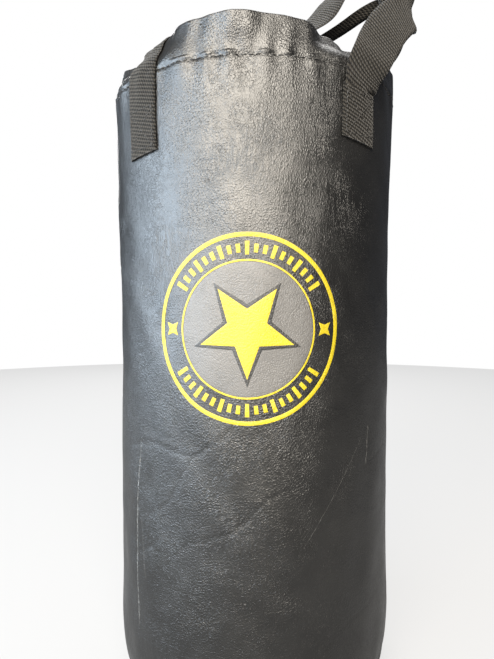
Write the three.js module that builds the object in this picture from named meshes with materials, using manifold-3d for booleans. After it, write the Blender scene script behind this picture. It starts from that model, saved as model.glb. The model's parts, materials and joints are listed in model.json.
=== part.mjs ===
// A small hanging punching bag in grained synthetic leather: a sewn cylinder with a raised, hemmed rim,
// a zipped top panel below that rim, a padded filling, and two webbing straps that cross in a steel ring.
// Millimetres, +Z up. The origin is the centre of the flat bottom panel; the printed front faces -Y.
import * as THREE from "three";
import { mergeVertices } from "three/addons/utils/BufferGeometryUtils.js";
import Module from "manifold-3d";

const wasm = await Module();
wasm.setup();

// Driving dimensions
const bagRadius = 146; // outer radius at the waist
const rimHeight = 640; // floor to the top edge of the rim
const hemHeight = 606; // floor to the stitch line of the folded rim
const skin = 1.6; // one layer of coated fabric with its backing
const gap = 0.4; // clearance between pieces that touch
const waistHeight = 345;
const waistFlare = 2.7; // how much wider the bag is at the hem than at its waist
const bottomRound = { height: 80, inset: 24 }; // rounded lower edge
const bottomPanelRadius = 124;
const rimThickness = 3;
const webbing = { width: 41, thickness: 2 };
const strapAngle = THREE.MathUtils.degToRad(41.4); // straps either side of the front and back centre lines
const strapEndHeight = { left: 535, right: 544 }; // lower end of each sewn strap end
const bunch = { width: 14, thickness: 6 }; // strap folded lengthwise to pass through the ring
const ringWire = 3; // radius of the ring's wire
const ringRadius = 22; // centre line of the wire
const ringTilt = THREE.MathUtils.degToRad(25); // how far the ring's axis points down to the right
const ringDrop = 8.5; // ring centre below the strap bundle that it hangs on
const bundle = new THREE.Vector3(150, 0, 717); // centre of the strap bundle inside the ring
const zip = { half: 100, pitch: 5, toothWidth: 1.8, base: 606.3, toothHeight: 2 };
const sliderStart = -90; // the slider's rest place along the zip
const padding = 9; // thickness of the felt liner
const coreRadius = 45; // radius of the weight sacks
const coreBase = 70;
const turns = 72; // segments round the casing
const fillTurns = 40; // segments round the filling

// Materials
const vinyl = { color: 0x2b2c2f, roughness: 0.45, metalness: 0 };
const strapFabric = { color: 0x26262a, roughness: 0.85, metalness: 0 };
const steel = { color: 0x4a4d52, roughness: 0.35, metalness: 1 };
const zipMetal = { color: 0x2e2e30, roughness: 0.4, metalness: 0.6 };
const zipFabric = { color: 0x1c1c1e, roughness: 0.9, metalness: 0 };
const backingFabric = { color: 0x6e6a60, roughness: 0.9, metalness: 0 };
const felt = { color: 0x8d8a80, roughness: 0.95, metalness: 0 };
const fibre = { color: 0xa8a294, roughness: 0.95, metalness: 0 };
const foam = { color: 0xc9c3ac, roughness: 0.95, metalness: 0 };
const sackCloth = { color: 0x5b5345, roughness: 0.95, metalness: 0 };

const bag = new THREE.Group();
const bridle = new THREE.Group();
const closure = new THREE.Group();
const inside = new THREE.Group();
bag.add(bridle, closure, inside);

// A closed body: shared corners are merged so that neighbouring faces share their vertices.
function closed(geometry) {
  geometry.deleteAttribute("normal");
  geometry.deleteAttribute("uv");
  const merged = mergeVertices(geometry, 1e-4);
  merged.computeVertexNormals();
  return merged;
}

function addPiece(group, name, geometry, finish) {
  const mesh = new THREE.Mesh(closed(geometry), new THREE.MeshStandardMaterial(finish));
  mesh.name = name;
  group.add(mesh);
  return mesh;
}

// Outer radius of the stuffed bag at a height: waisted, and rounded in at the bottom.
function bagOuter(z) {
  const flare = waistFlare * ((z - waistHeight) / (hemHeight - waistHeight)) ** 2;
  if (z >= bottomRound.height) {
    return bagRadius + flare;
  }
  const down = (bottomRound.height - z) / bottomRound.height;
  return bagRadius + flare - bottomRound.inset * (1 - Math.sqrt(1 - Math.min(down, 0.998) ** 2));
}

// Heights from low to high, closer together where the bag's lower edge turns in.
function wallHeights(low, high) {
  const heights = [];
  const lowSteps = 6;
  for (let i = 0; i < lowSteps; i++) {
    const share = 1 - Math.cos((i / lowSteps) * Math.PI * 0.5);
    const z = low + share * (bottomRound.height - low);
    heights.push(z);
  }
  const upSteps = 4;
  for (let i = 0; i <= upSteps; i++) {
    heights.push(bottomRound.height + (i / upSteps) * (high - bottomRound.height));
  }
  return heights;
}

// A body of revolution about the bag's axis, from (radius, height) pairs.
function revolve(pairs, segments = turns) {
  const profile = pairs.map(([radius, height]) => new THREE.Vector2(radius, height));
  const lathe = new THREE.LatheGeometry(profile, segments);
  return lathe.rotateX(Math.PI / 2);
}

// A wall of even thickness that follows the bag's outline, inset from its outer surface.
function wall(low, high, inset, thickness, segments = turns) {
  const heights = wallHeights(low, high);
  const outer = heights.map((z) => [bagOuter(z) - inset, z]);
  const inner = heights.map((z) => [bagOuter(z) - inset - thickness, z]).reverse();
  return revolve([...outer, ...inner, outer[0]], segments);
}

function disc(radius, low, high, segments = turns) {
  return revolve([[0, low], [radius, low], [radius, high], [0, high]], segments);
}

// A bent sheet of even thickness. surface(u, t) gives its middle surface: u runs across it from -0.5
// to 0.5 and t along it from 0 to 1.
function bentSheet(surface, thickness, across, along) {
  const box = new THREE.BoxGeometry(1, 1, 1, across, 1, along);
  const corners = box.attributes.position;
  const step = 1e-3;
  for (let i = 0; i < corners.count; i++) {
    const u = corners.getX(i);
    const t = corners.getZ(i) + 0.5;
    const side = corners.getY(i) * thickness;
    const ahead = surface(u, Math.min(t + step, 1)).sub(surface(u, Math.max(t - step, 0)));
    const aside = surface(u + step, t).sub(surface(u - step, t));
    const normal = ahead.cross(aside).normalize();
    const place = surface(u, t).addScaledVector(normal, side);
    corners.setXYZ(i, place.x, place.y, place.z);
  }
  return box;
}

// A point at a radius, an angle from the front centre line (-Y, positive towards +X) and a height.
function around(radius, angle, height) {
  return new THREE.Vector3(radius * Math.sin(angle), -radius * Math.cos(angle), height);
}

// Webbing along a route of stops. Each stop has a centre, the direction across the webbing, and its width.
function webbingAlong(stops, thickness, steps) {
  const centres = new THREE.CatmullRomCurve3(stops.map((stop) => stop.at), false, "centripetal");
  const count = stops.length - 1;
  const surface = (u, t) => {
    const place = Math.min(t * count, count - 1e-6);
    const before = stops[Math.floor(place)];
    const after = stops[Math.floor(place) + 1];
    const share = place - Math.floor(place);
    const across = before.across.clone().lerp(after.across, share);
    const tangent = centres.getTangent(t);
    across.addScaledVector(tangent, -across.dot(tangent)).normalize();
    const width = before.width + (after.width - before.width) * share;
    return centres.getPoint(t).addScaledVector(across, u * width);
  };
  return bentSheet(surface, thickness, 2, steps);
}

function stop(x, y, z, across, width = webbing.width) {
  return { at: new THREE.Vector3(x, y, z), across, width };
}

// The sewn end of a strap, up the outside of the bag. With a reach, it goes on over the rim and that
// far in.
function strapEnd(angle, low, high, reach) {
  const lift = gap + webbing.thickness / 2;
  const outside = bagOuter(hemHeight) + lift;
  const stops = [low, (low + high) / 2, high].map((z) => {
    return new THREE.Vector3(bagOuter(Math.min(z, hemHeight)) + lift, 0, z);
  });
  if (reach > 0) {
    stops.push(
      new THREE.Vector3(outside - 1.2, 0, rimHeight + 1),
      new THREE.Vector3(outside - 3.2, 0, rimHeight + lift + 0.8),
      new THREE.Vector3(outside - 3.2 - reach * 0.5, 0, rimHeight + lift + 2.4),
      new THREE.Vector3(outside - 3.2 - reach, 0, rimHeight + lift + 5),
    );
  }
  const route = new THREE.CatmullRomCurve3(stops, false, "centripetal");
  const surface = (u, t) => {
    const place = route.getPoint(t);
    return around(place.x, angle + (u * webbing.width) / bagRadius, place.z);
  };
  return bentSheet(surface, webbing.thickness, 4, reach > 0 ? 20 : 6);
}

// Casing
const shellTop = hemHeight - gap / 2;
addPiece(bag, "shell_panel", wall(0.4, shellTop, 0, skin), vinyl);
addPiece(bag, "bottom_panel", disc(bottomPanelRadius, 0, 2), vinyl);

function rimCollar() {
  const outer = bagOuter(hemHeight);
  const inner = outer - rimThickness;
  const low = hemHeight + gap / 2;
  const soft = 1; // the fold of the hem is rounded
  return revolve([
    [inner, low],
    [outer, low],
    [outer, rimHeight - soft],
    [outer - soft, rimHeight],
    [inner + soft, rimHeight],
    [inner, rimHeight - soft],
    [inner, low],
  ]);
}
addPiece(bag, "rim_collar", rimCollar(), vinyl);

// Top panel: two half discs that meet along the middle, cut away there for the zip
const topPanel = { radius: bagOuter(hemHeight) - rimThickness - gap, slit: 7, base: zip.base };
const slitHalf = zip.half + 7;

function halfPanel(side) {
  const shape = new THREE.Shape();
  const edge = gap / 2;
  const start = Math.asin(edge / topPanel.radius);
  shape.absarc(0, 0, topPanel.radius, start, Math.PI - start, false);
  shape.lineTo(-slitHalf, edge);
  shape.lineTo(-slitHalf, topPanel.slit);
  shape.lineTo(slitHalf, topPanel.slit);
  shape.lineTo(slitHalf, edge);
  shape.closePath();
  const options = { depth: skin, bevelEnabled: false, curveSegments: turns / 2 };
  const panel = new THREE.ExtrudeGeometry(shape, options);
  return panel.rotateZ(side > 0 ? 0 : Math.PI).translate(0, 0, topPanel.base);
}

// One side's teeth: a strip on the tape's edge with teeth that reach past the middle line.
function zipTeeth(side) {
  const shape = new THREE.Shape();
  const root = 2.2;
  const tip = -1.5;
  const back = 5;
  const shift = side > 0 ? 0 : zip.pitch / 2;
  shape.moveTo(-zip.half, side * back);
  shape.lineTo(-zip.half, side * root);
  for (let x = -zip.half + shift + 1; x < zip.half - 2; x += zip.pitch) {
    shape.lineTo(x, side * root);
    shape.lineTo(x, side * tip);
    shape.lineTo(x + zip.toothWidth, side * tip);
    shape.lineTo(x + zip.toothWidth, side * root);
  }
  shape.lineTo(zip.half, side * root);
  shape.lineTo(zip.half, side * back);
  const strip = new THREE.ExtrudeGeometry(shape, { depth: zip.toothHeight, bevelEnabled: false });
  return strip.translate(0, 0, zip.base);
}

function block(width, depth, height, x, y, z) {
  return new THREE.BoxGeometry(width, depth, height).translate(x, y, z);
}

for (const [side, word] of [[1, "back"], [-1, "front"]]) {
  addPiece(closure, `top_panel_${word}`, halfPanel(side), vinyl);
  addPiece(closure, `zipper_tape_${word}`, block(2 * zip.half + 16, 14, 0.7, 0, side * 9, 605.65), zipFabric);
  addPiece(closure, `zipper_teeth_${word}`, zipTeeth(side), zipMetal);
}
for (const [side, word] of [[1, "right"], [-1, "left"]]) {
  const middle = side * (zip.half + 3);
  addPiece(closure, `zipper_stop_${word}`, block(4, 9, 2.4, middle, 0, zip.base + 1.2), zipMetal);
}

// Slider: a plate over the teeth with a lip down each side, and a bridge that holds the pull
const slider = { length: 14, plate: 1.3, lipOuter: 6.5, lipInner: 5.4, bottom: 606.5 };
const plateBottom = zip.base + zip.toothHeight + gap;
const plateTop = plateBottom + slider.plate;
const pull = { length: 28, width: 9, thickness: 1.6, bar: 0.9, window: 6.5 };
const pullHeight = plateTop + 0.45 + pull.thickness / 2;
const bridge = { inner: 2.2, outer: 3.9, under: 1.6, over: 3, depth: 2.4 };

// The outer surface of a solid as manifold-3d takes it, and back again.
function toManifold(geometry) {
  const merged = closed(geometry);
  const shapeMesh = new wasm.Mesh({
    numProp: 3,
    vertProperties: new Float32Array(merged.attributes.position.array),
    triVerts: new Uint32Array(merged.index.array),
  });
  return new wasm.Manifold(shapeMesh);
}

function fromManifold(solid) {
  const mesh = solid.getMesh();
  const geometry = new THREE.BufferGeometry();
  geometry.setAttribute("position", new THREE.Float32BufferAttribute(mesh.vertProperties, 3));
  geometry.setIndex(Array.from(mesh.triVerts));
  return geometry;
}

function sliderBody() {
  const section = new THREE.Shape();
  section.moveTo(-slider.lipOuter, slider.bottom);
  section.lineTo(-slider.lipInner, slider.bottom);
  section.lineTo(-slider.lipInner, plateBottom);
  section.lineTo(slider.lipInner, plateBottom);
  section.lineTo(slider.lipInner, slider.bottom);
  section.lineTo(slider.lipOuter, slider.bottom);
  section.lineTo(slider.lipOuter, plateTop);
  section.lineTo(-slider.lipOuter, plateTop);
  const channel = new THREE.ExtrudeGeometry(section, { depth: slider.length, bevelEnabled: false });
  channel.translate(0, 0, -slider.length / 2);
  channel.rotateX(Math.PI / 2);
  channel.rotateZ(Math.PI / 2);
  const arch = new THREE.Shape();
  const low = plateTop - 0.5;
  arch.moveTo(-bridge.outer, low);
  arch.lineTo(-bridge.inner, low);
  arch.lineTo(-bridge.inner, pullHeight + bridge.under);
  arch.lineTo(bridge.inner, pullHeight + bridge.under);
  arch.lineTo(bridge.inner, low);
  arch.lineTo(bridge.outer, low);
  arch.lineTo(bridge.outer, pullHeight + bridge.over - 0.8);
  arch.lineTo(bridge.outer - 0.8, pullHeight + bridge.over);
  arch.lineTo(-bridge.outer + 0.8, pullHeight + bridge.over);
  arch.lineTo(-bridge.outer, pullHeight + bridge.over - 0.8);
  const crown = new THREE.ExtrudeGeometry(arch, { depth: bridge.depth, bevelEnabled: false });
  crown.translate(0, 0, -bridge.depth / 2);
  crown.rotateX(Math.PI / 2);
  return fromManifold(toManifold(channel).add(toManifold(crown)));
}

function pullTab() {
  const outline = new THREE.Shape();
  const half = pull.width / 2;
  outline.moveTo(-pull.bar, -half);
  outline.lineTo(pull.length - half, -half);
  outline.absarc(pull.length - half, 0, half, -Math.PI / 2, Math.PI / 2, false);
  outline.lineTo(-pull.bar, half);
  outline.closePath();
  const window = new THREE.Path();
  const reach = bridge.depth / 2 + 0.9;
  window.moveTo(pull.bar, -reach);
  window.lineTo(pull.bar, reach);
  window.lineTo(pull.window, reach);
  window.lineTo(pull.window, -reach);
  window.closePath();
  outline.holes.push(window);
  const tab = new THREE.ExtrudeGeometry(outline, { depth: pull.thickness, bevelEnabled: false });
  return tab.translate(0, 0, -pull.thickness / 2);
}

addPiece(closure, "zipper_slider", sliderBody(), zipMetal).position.set(sliderStart, 0, 0);
addPiece(closure, "zipper_pull", pullTab(), zipMetal).position.set(sliderStart, 0, pullHeight);

// Straps: sewn ends, with a backing patch behind each inside the shell
const overRim = rimHeight - 2;
const sewnTop = 590; // where the front right strap leaves the bag, to turn across towards the ring
const corners = [
  ["front_left", -strapAngle, strapEndHeight.left, overRim, 26],
  ["front_right", strapAngle, strapEndHeight.right, sewnTop, 0],
  ["back_right", Math.PI - strapAngle, strapEndHeight.right, overRim, 0],
  ["back_left", Math.PI + strapAngle, strapEndHeight.left, overRim, 26],
];
const patch = { width: 60, below: 8, high: 588 };
for (const [word, angle, low, high, reach] of corners) {
  addPiece(bag, `strap_end_${word}`, strapEnd(angle, low, high, reach), strapFabric);
  const surface = (u, t) => {
    const z = low - patch.below + t * (patch.high - low + patch.below);
    const radius = bagOuter(z) - skin - gap - skin / 2;
    return around(radius, angle + (u * patch.width) / bagRadius, z);
  };
  addPiece(inside, `strap_backing_${word}`, bentSheet(surface, skin, 6, 4), backingFabric);
}

// Free legs. The two left legs lie over the bag's mouth and carry the crossing. The two right legs rise
// beside it: the front one leans across to the right and folds back to the ring, the back one curves in.
const acrossY = new THREE.Vector3(0, 1, 0);
const acrossFront = new THREE.Vector3(-0.5, 0.87, 0);
const acrossBack = new THREE.Vector3(0.5, 0.87, 0);
const legFrontLeft = [
  stop(-73, -85.5, 648.5, new THREE.Vector3(-0.73, 0.68, 0)),
  stop(-20, -60, 659, acrossFront),
  stop(40, -37, 677, new THREE.Vector3(-0.3, 0.95, 0)),
  stop(70, -24, 698, new THREE.Vector3(-0.35, 0.9, 0.2), 38),
  stop(88, -16, 724, new THREE.Vector3(-0.3, 0.92, 0.2), 34),
  stop(106, -8, 744, acrossY, 26),
  stop(121, -4, 748.5, acrossY, bunch.width + 3),
];
const legBackLeft = [
  stop(-73, 85.5, 648.5, new THREE.Vector3(0.73, 0.68, 0)),
  stop(-20, 60, 662, acrossBack),
  stop(50, 34, 686, new THREE.Vector3(0.3, 0.95, 0), 38),
  stop(93, 17, 703, acrossY, 28),
  stop(122, 6, 717, acrossY, bunch.width + 2),
];
addPiece(bridle, "strap_leg_front_left", webbingAlong(legFrontLeft, webbing.thickness, 30), strapFabric);
addPiece(bridle, "strap_leg_back_left", webbingAlong(legBackLeft, webbing.thickness, 24), strapFabric);

const legFrontRight = [
  stop(99.3, -112.7, 592, new THREE.Vector3(0.75, 0.66, 0)),
  stop(99.6, -113, 597, new THREE.Vector3(0.75, 0.66, 0)),
  stop(104, -111.5, 608, new THREE.Vector3(0.76, 0.62, -0.25)),
  stop(113, -107.5, 621, new THREE.Vector3(0.74, 0.56, -0.36)),
  stop(121, -101, 637, new THREE.Vector3(0.8, 0.42, -0.42)),
  stop(129, -93, 654, new THREE.Vector3(0.82, 0.3, -0.48)),
  stop(140, -82, 668, new THREE.Vector3(0.72, 0.2, -0.65)),
  stop(150, -74, 678, new THREE.Vector3(0.45, 0.1, -0.88)),
  stop(158, -62, 683, new THREE.Vector3(0.1, 0, -0.99), 38),
  stop(161, -45, 689, new THREE.Vector3(0, 0.2, -0.97), 33),
  stop(161, -28, 700, new THREE.Vector3(0, 0.3, -0.95), 26),
  stop(160, -13, 711, new THREE.Vector3(0, 0.4, -0.9), 19),
  stop(158, -3, 717, new THREE.Vector3(0, 0.5, -0.87), bunch.width),
];
const legBackRight = [
  stop(157, 1, 703, acrossY, bunch.width),
  stop(156, 12, 694, new THREE.Vector3(0.8, 0.4, 0), 20),
  stop(150, 30, 685, new THREE.Vector3(0.7, 0.6, 0), 30),
  stop(139, 52, 681, new THREE.Vector3(0.7, 0.65, 0), 38),
  stop(126, 76, 683, new THREE.Vector3(0.75, 0.6, 0)),
  stop(111, 99.5, 675, new THREE.Vector3(0.85, 0.3, 0.1)),
  stop(102.5, 111, 660, new THREE.Vector3(0.8, -0.5, 0)),
  stop(100.5, 113.5, 645, new THREE.Vector3(0.75, -0.66, 0)),
];
addPiece(bag, "strap_leg_front_right", webbingAlong(legFrontRight, webbing.thickness, 30), strapFabric);
addPiece(bag, "strap_leg_back_right", webbingAlong(legBackRight, webbing.thickness, 24), strapFabric);

// Crossing: both straps are folded lengthwise and run through the ring, one above the other.
const crossingFront = [
  stop(129, -6.5, 747, acrossY, bunch.width),
  stop(132, -9, 744, new THREE.Vector3(0.5, 0.8, 0), bunch.width),
  stop(135, -13, 732, new THREE.Vector3(0.9, 0.3, 0), bunch.width),
  stop(139, -13, 716, new THREE.Vector3(0.9, 0.4, 0), bunch.width),
  stop(145, -5, 709, new THREE.Vector3(0.2, 0.9, 0), bunch.width),
  stop(153, -1, 705.5, acrossY, bunch.width),
];
const crossingBack = [
  stop(124.5, 5.4, 717.8, acrossY, bunch.width),
  stop(137, 3, 722, acrossY, bunch.width),
  stop(149, 0, 721.5, acrossY, bunch.width),
  stop(155, -1, 719.5, acrossY, bunch.width),
];
addPiece(bridle, "strap_crossing_front", webbingAlong(crossingFront, bunch.thickness, 20), strapFabric);
addPiece(bridle, "strap_crossing_back", webbingAlong(crossingBack, bunch.thickness, 10), strapFabric);

// Ring: hangs on the bundle, its axis along the bundle
const hangingRing = new THREE.TorusGeometry(ringRadius, ringWire, 10, 32);
const ringMesh = addPiece(bridle, "hanging_ring", hangingRing, steel);
ringMesh.rotation.set(0, Math.PI / 2 + ringTilt, 0);
const ringDown = new THREE.Vector3(-Math.sin(ringTilt), 0, -Math.cos(ringTilt));
ringMesh.position.copy(bundle).addScaledVector(ringDown, ringDrop);

// Filling, from the bottom up
const fillTop = 592;
const fillBase = 14;
const linerInset = skin + 2.6;
addPiece(inside, "bottom_foam_disc", disc(bottomPanelRadius + 1, 2.4, fillBase - gap, fillTurns), foam);
addPiece(inside, "felt_liner", wall(fillBase, fillTop, linerInset, padding, fillTurns), felt);

function fibreFilling() {
  const heights = wallHeights(fillBase, fillTop);
  const outer = heights.map((z) => [bagOuter(z) - linerInset - padding - gap, z]);
  const bore = coreRadius + gap;
  const profile = [[0, fillBase], ...outer, [bore, fillTop], [bore, coreBase - gap], [0, coreBase - gap]];
  return revolve(profile, fillTurns);
}
addPiece(inside, "fibre_filling", fibreFilling(), fibre);

function weightSack(low, high) {
  const soft = 12;
  const profile = [[0, low]];
  const quarter = 4;
  for (let i = 0; i <= quarter; i++) {
    const turn = (i / quarter) * Math.PI * 0.5;
    profile.push([coreRadius - soft + soft * Math.sin(turn), low + soft - soft * Math.cos(turn)]);
  }
  for (let i = 0; i <= quarter; i++) {
    const turn = (i / quarter) * Math.PI * 0.5;
    profile.push([coreRadius - soft + soft * Math.cos(turn), high - soft + soft * Math.sin(turn)]);
  }
  profile.push([0, high]);
  return revolve(profile, fillTurns / 2);
}
const sackMiddle = (coreBase + fillTop) / 2;
addPiece(inside, "weight_sack_lower", weightSack(coreBase, sackMiddle - gap / 2), sackCloth);
addPiece(inside, "weight_sack_upper", weightSack(sackMiddle + gap / 2, fillTop - gap), sackCloth);
const lidFoamRadius = bagOuter(hemHeight) - skin - 1;
addPiece(inside, "top_foam_disc", disc(lidFoamRadius, fillTop + gap, 604.6, fillTurns), foam);

export default bag;
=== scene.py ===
import json
import math

import bpy
import numpy as np
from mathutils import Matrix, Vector


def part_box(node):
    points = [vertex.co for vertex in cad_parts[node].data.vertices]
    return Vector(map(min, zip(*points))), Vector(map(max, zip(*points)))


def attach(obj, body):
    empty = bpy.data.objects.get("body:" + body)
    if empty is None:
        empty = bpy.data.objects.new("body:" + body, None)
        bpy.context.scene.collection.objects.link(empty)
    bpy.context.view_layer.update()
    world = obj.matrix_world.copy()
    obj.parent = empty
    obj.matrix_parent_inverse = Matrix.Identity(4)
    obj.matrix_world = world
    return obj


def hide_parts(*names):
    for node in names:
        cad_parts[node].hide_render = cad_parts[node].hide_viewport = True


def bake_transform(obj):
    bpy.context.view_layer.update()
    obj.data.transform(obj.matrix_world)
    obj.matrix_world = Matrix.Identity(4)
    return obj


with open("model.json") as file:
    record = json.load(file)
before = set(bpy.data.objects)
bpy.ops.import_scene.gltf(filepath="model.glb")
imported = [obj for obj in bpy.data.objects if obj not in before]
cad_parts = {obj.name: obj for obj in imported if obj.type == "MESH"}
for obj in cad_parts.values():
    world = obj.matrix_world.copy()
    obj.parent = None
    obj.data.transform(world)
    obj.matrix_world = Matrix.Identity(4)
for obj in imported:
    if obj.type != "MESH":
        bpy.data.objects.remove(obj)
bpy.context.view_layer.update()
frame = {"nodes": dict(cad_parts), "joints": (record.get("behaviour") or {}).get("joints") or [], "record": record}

# Sizes, in metres, in the frame's own axes: +Z up along the bag, print facing -Y
BAG_RADIUS = 0.146
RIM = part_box("rim_collar")[1][2]
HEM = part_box("rim_collar")[0][2]
WAIST = 0.345
FLARE = 0.0027
BOTTOM_ROUND = (0.080, 0.024)  # height and inset of the rounded lower edge
COLLAR_WALL = 0.003
STRAP_WIDTH = 0.041
STRAP_THICK = 0.0021
STRAP_TURN = math.radians(41.4)
SEWN_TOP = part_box("strap_end_front_right")[1][2]
PRINT_HEIGHT = 0.377
PRINT_RADIUS = 0.083
RING_RADIUS = 0.022  # to the middle of the wire
RING_WIRE = 0.0031
BASE_GAP = 0.0008  # the skin's lowest row above the floor
FOOT_TOP = 0.075  # rows of the skin's mesh are closer below here, and above COLLAR_START
COLLAR_START = 0.590

# How far each kind of relief stands out of the skin or into it
LUMPS = 0.00045
DENTS = 0.00022
HEM_SWELL = 0.0003
HEM_RIPPLES = 0.0006
HEM_GROOVE = 0.0009
COLLAR_GATHERS = 0.0005
COLLAR_FOLDS = 0.0002
COLLAR_WOBBLE = 0.0007
BASE_PUCKERS = 0.0007
BACK_LAP = 0.0013
LAP_HALF = 0.011  # half the width of the lapped seam down the back
CREASES = 64
CREASE_HALF = 0.0014
DEEPEST_DENT = 0.0019  # no dent goes deeper, so that the skin stays outside its filling

# Stitches
STITCH_PITCH = 0.0062
STITCH_LIFT = 0.0003
STITCH = 0.0042
TAU = 2 * math.pi


# ---------------------------------------------------------------- small helpers
def smooth(x):
    """An S-shaped step from 0 to 1."""
    x = np.clip(x, 0, 1)
    return x * x * (3 - 2 * x)


def waves(count, low, high, seed):
    """Random ripples round the bag and up it: whole numbers of waves round, so that they close."""
    dice = np.random.default_rng(seed)
    round_bag = dice.integers(low, high + 1, count)
    up_bag = dice.uniform(-1, 1, count) * high / BAG_RADIUS
    phase = dice.uniform(0, TAU, count)
    size = dice.uniform(0.5, 1, count)
    size /= math.sqrt((size ** 2).sum() / 2)

    def at(theta, z, stretch=1.0):
        total = np.zeros(np.broadcast(theta, z).shape)
        for n, k, p, s in zip(round_bag, up_bag, phase, size):
            total = total + s * np.cos(n * theta + k * stretch * z + p)
        return total

    return at


lumps = waves(10, 2, 9, 11)
ripples = waves(16, 16, 52, 12)
gathers = waves(14, 14, 60, 13)
puckers = waves(12, 18, 44, 14)
soft_dents = waves(12, 9, 24, 15)


# ---------------------------------------------------------------- the bag's surface
# How far the folded rim leans in, in degrees, at angles round the bag from the front centre line.
LEAN = [(-180, 2), (-150, 14), (-128, 16), (-100, 2), (-75, 12), (-55, 33), (-36, 26), (-20, 2), (-7, -8),
        (8, -2), (20, 9), (30, 28), (42, 38), (56, 26), (70, 4), (95, -2), (128, 20), (150, 14), (180, 2)]
crease_rng = np.random.default_rng(21)
crease_list = []
for i in range(CREASES):
    slant = crease_rng.choice([-0.9, 0.9, 0.15, -0.15]) + crease_rng.normal(0, 0.25)
    crease_list.append((crease_rng.uniform(-math.pi, math.pi), crease_rng.uniform(0.06, 0.59), slant,
                        crease_rng.uniform(0.02, 0.075), crease_rng.uniform(0.0002, 0.0005)))


def lean(theta):
    """The rim's lean in radians, joined smoothly between the stops above."""
    degrees = (np.degrees(theta) + 180) % 360 - 180
    stops = np.array([a for a, b in LEAN], float)
    values = np.array([b for a, b in LEAN], float)
    index = np.clip(np.searchsorted(stops, degrees, side="right") - 1, 0, len(stops) - 2)
    share = smooth((degrees - stops[index]) / (stops[index + 1] - stops[index]))
    return np.radians(values[index] + (values[index + 1] - values[index]) * share)


def outline(z):
    """The stuffed bag's radius at a height."""
    radius = BAG_RADIUS + FLARE * ((z - WAIST) / (HEM - WAIST)) ** 2
    high, inset = BOTTOM_ROUND
    down = np.clip((high - z) / high, 0, 0.998)
    return radius - inset * (1 - np.sqrt(1 - down ** 2))


def relief(theta, z):
    """How far the filled skin stands in or out of its plain outline."""
    near_hem = np.exp(-(np.clip(HEM - z, 0, 1) / 0.022) ** 1.5) * (z <= HEM + 0.004)
    above = np.exp(-np.clip(z - HEM, 0, 1) / 0.012) * (z > HEM)
    low = smooth((0.085 - z) / 0.075)
    height = LUMPS * lumps(theta, z, 0.5) + DENTS * soft_dents(theta, z, 0.7)
    height = height + (HEM_SWELL + HEM_RIPPLES * ripples(theta, z, 0.05)) * near_hem
    height = height + COLLAR_GATHERS * gathers(theta, z, 0.12) * above
    height = height + COLLAR_FOLDS * gathers(theta, z, 0.5) * (z > HEM)
    height = height - HEM_GROOVE * np.exp(-((z - HEM) / 0.0015) ** 2)
    height = height + BASE_PUCKERS * puckers(theta, z, 0.16) * low * (0.4 + 0.6 * low)
    for angle, level, slant, reach, deep in crease_list:
        along = ((theta - angle + math.pi) % TAU - math.pi) * BAG_RADIUS
        rise = z - level
        norm = math.hypot(1, slant)
        run = (along + slant * rise) / norm
        off = (rise - slant * along) / norm + 0.004 * np.sin(run * 70 + level * 40)
        height = height - deep * np.exp(-(off / CREASE_HALF) ** 2) * smooth(1.4 - np.abs(run) / reach)
    # the lapped seam: a step at one edge, easing away towards the other
    edge = (theta % TAU - math.pi) * BAG_RADIUS
    lap = smooth((edge + LAP_HALF) / 0.0015) * smooth((LAP_HALF - edge) / LAP_HALF)
    height = height + BACK_LAP * lap * (z > 0.02)
    return np.where(height < 0, -DEEPEST_DENT * np.tanh(-height / DEEPEST_DENT), height)


def bag_point(theta, z, out=0.0, inward=0.0):
    """Points on the bag's skin, lifted by out; inward moves in from the outer face, for the rim's fold.

    Above the hem the collar turns about the hem line, by its lean at that angle."""
    theta, z = np.broadcast_arrays(np.asarray(theta, float), np.asarray(z, float))
    radius = outline(np.minimum(z, HEM)) + relief(theta, z) * (inward < COLLAR_WALL / 2) + out - inward
    above = np.clip(z - HEM, 0, 1)
    turn = lean(theta) * smooth(above / 0.022)
    pivot = outline(np.full_like(z, HEM))
    across = radius - pivot
    tip = np.where(above > 0, np.sin(turn), 0)
    flat = np.where(above > 0, np.cos(turn), 1)
    new_radius = pivot + across * flat - above * tip
    new_z = np.where(above > 0, HEM + above * flat + across * tip, z)
    wobble = COLLAR_WOBBLE * soft_dents(theta, z, 0.2) * smooth(above / 0.03)
    new_radius = new_radius + wobble
    return np.stack([new_radius * np.sin(theta), -new_radius * np.cos(theta), new_z], -1)


# ---------------------------------------------------------------- mesh building
def mesh_piece(name, verts, faces, material, smooth_shade=True, uv=None, wrap=0.0):
    """A mesh from points and faces. uv gives each point's place on the flat material, in metres; wrap is
    the distance round a closed form, for the faces that cross its seam."""
    mesh = bpy.data.meshes.new(name)
    mesh.from_pydata([tuple(v) for v in np.asarray(verts).reshape(-1, 3)], [], faces)
    if uv is not None:
        layer = mesh.uv_layers.new(name="weave")
        loops = np.zeros(len(mesh.loops), np.int32)
        mesh.loops.foreach_get("vertex_index", loops)
        places = np.asarray(uv, np.float32)[loops]
        if wrap:
            quads = places[:, 0].reshape(-1, 4)
            quads += wrap * (quads < quads.max(axis=1, keepdims=True) - wrap / 2)
        layer.data.foreach_set("uv", places.ravel())
    if smooth_shade:
        mesh.polygons.foreach_set("use_smooth", [True] * len(mesh.polygons))
    mesh.materials.append(material)
    mesh.update()
    obj = bpy.data.objects.new(name, mesh)
    bpy.context.scene.collection.objects.link(obj)
    return obj


def grid_faces(rows, columns, wrap_rows=False, wrap_columns=False, first=0):
    faces = []
    for r in range(rows if wrap_rows else rows - 1):
        for c in range(columns if wrap_columns else columns - 1):
            r2, c2 = (r + 1) % rows, (c + 1) % columns
            faces.append((first + r * columns + c, first + r * columns + c2,
                          first + r2 * columns + c2, first + r2 * columns + c))
    return faces


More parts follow.
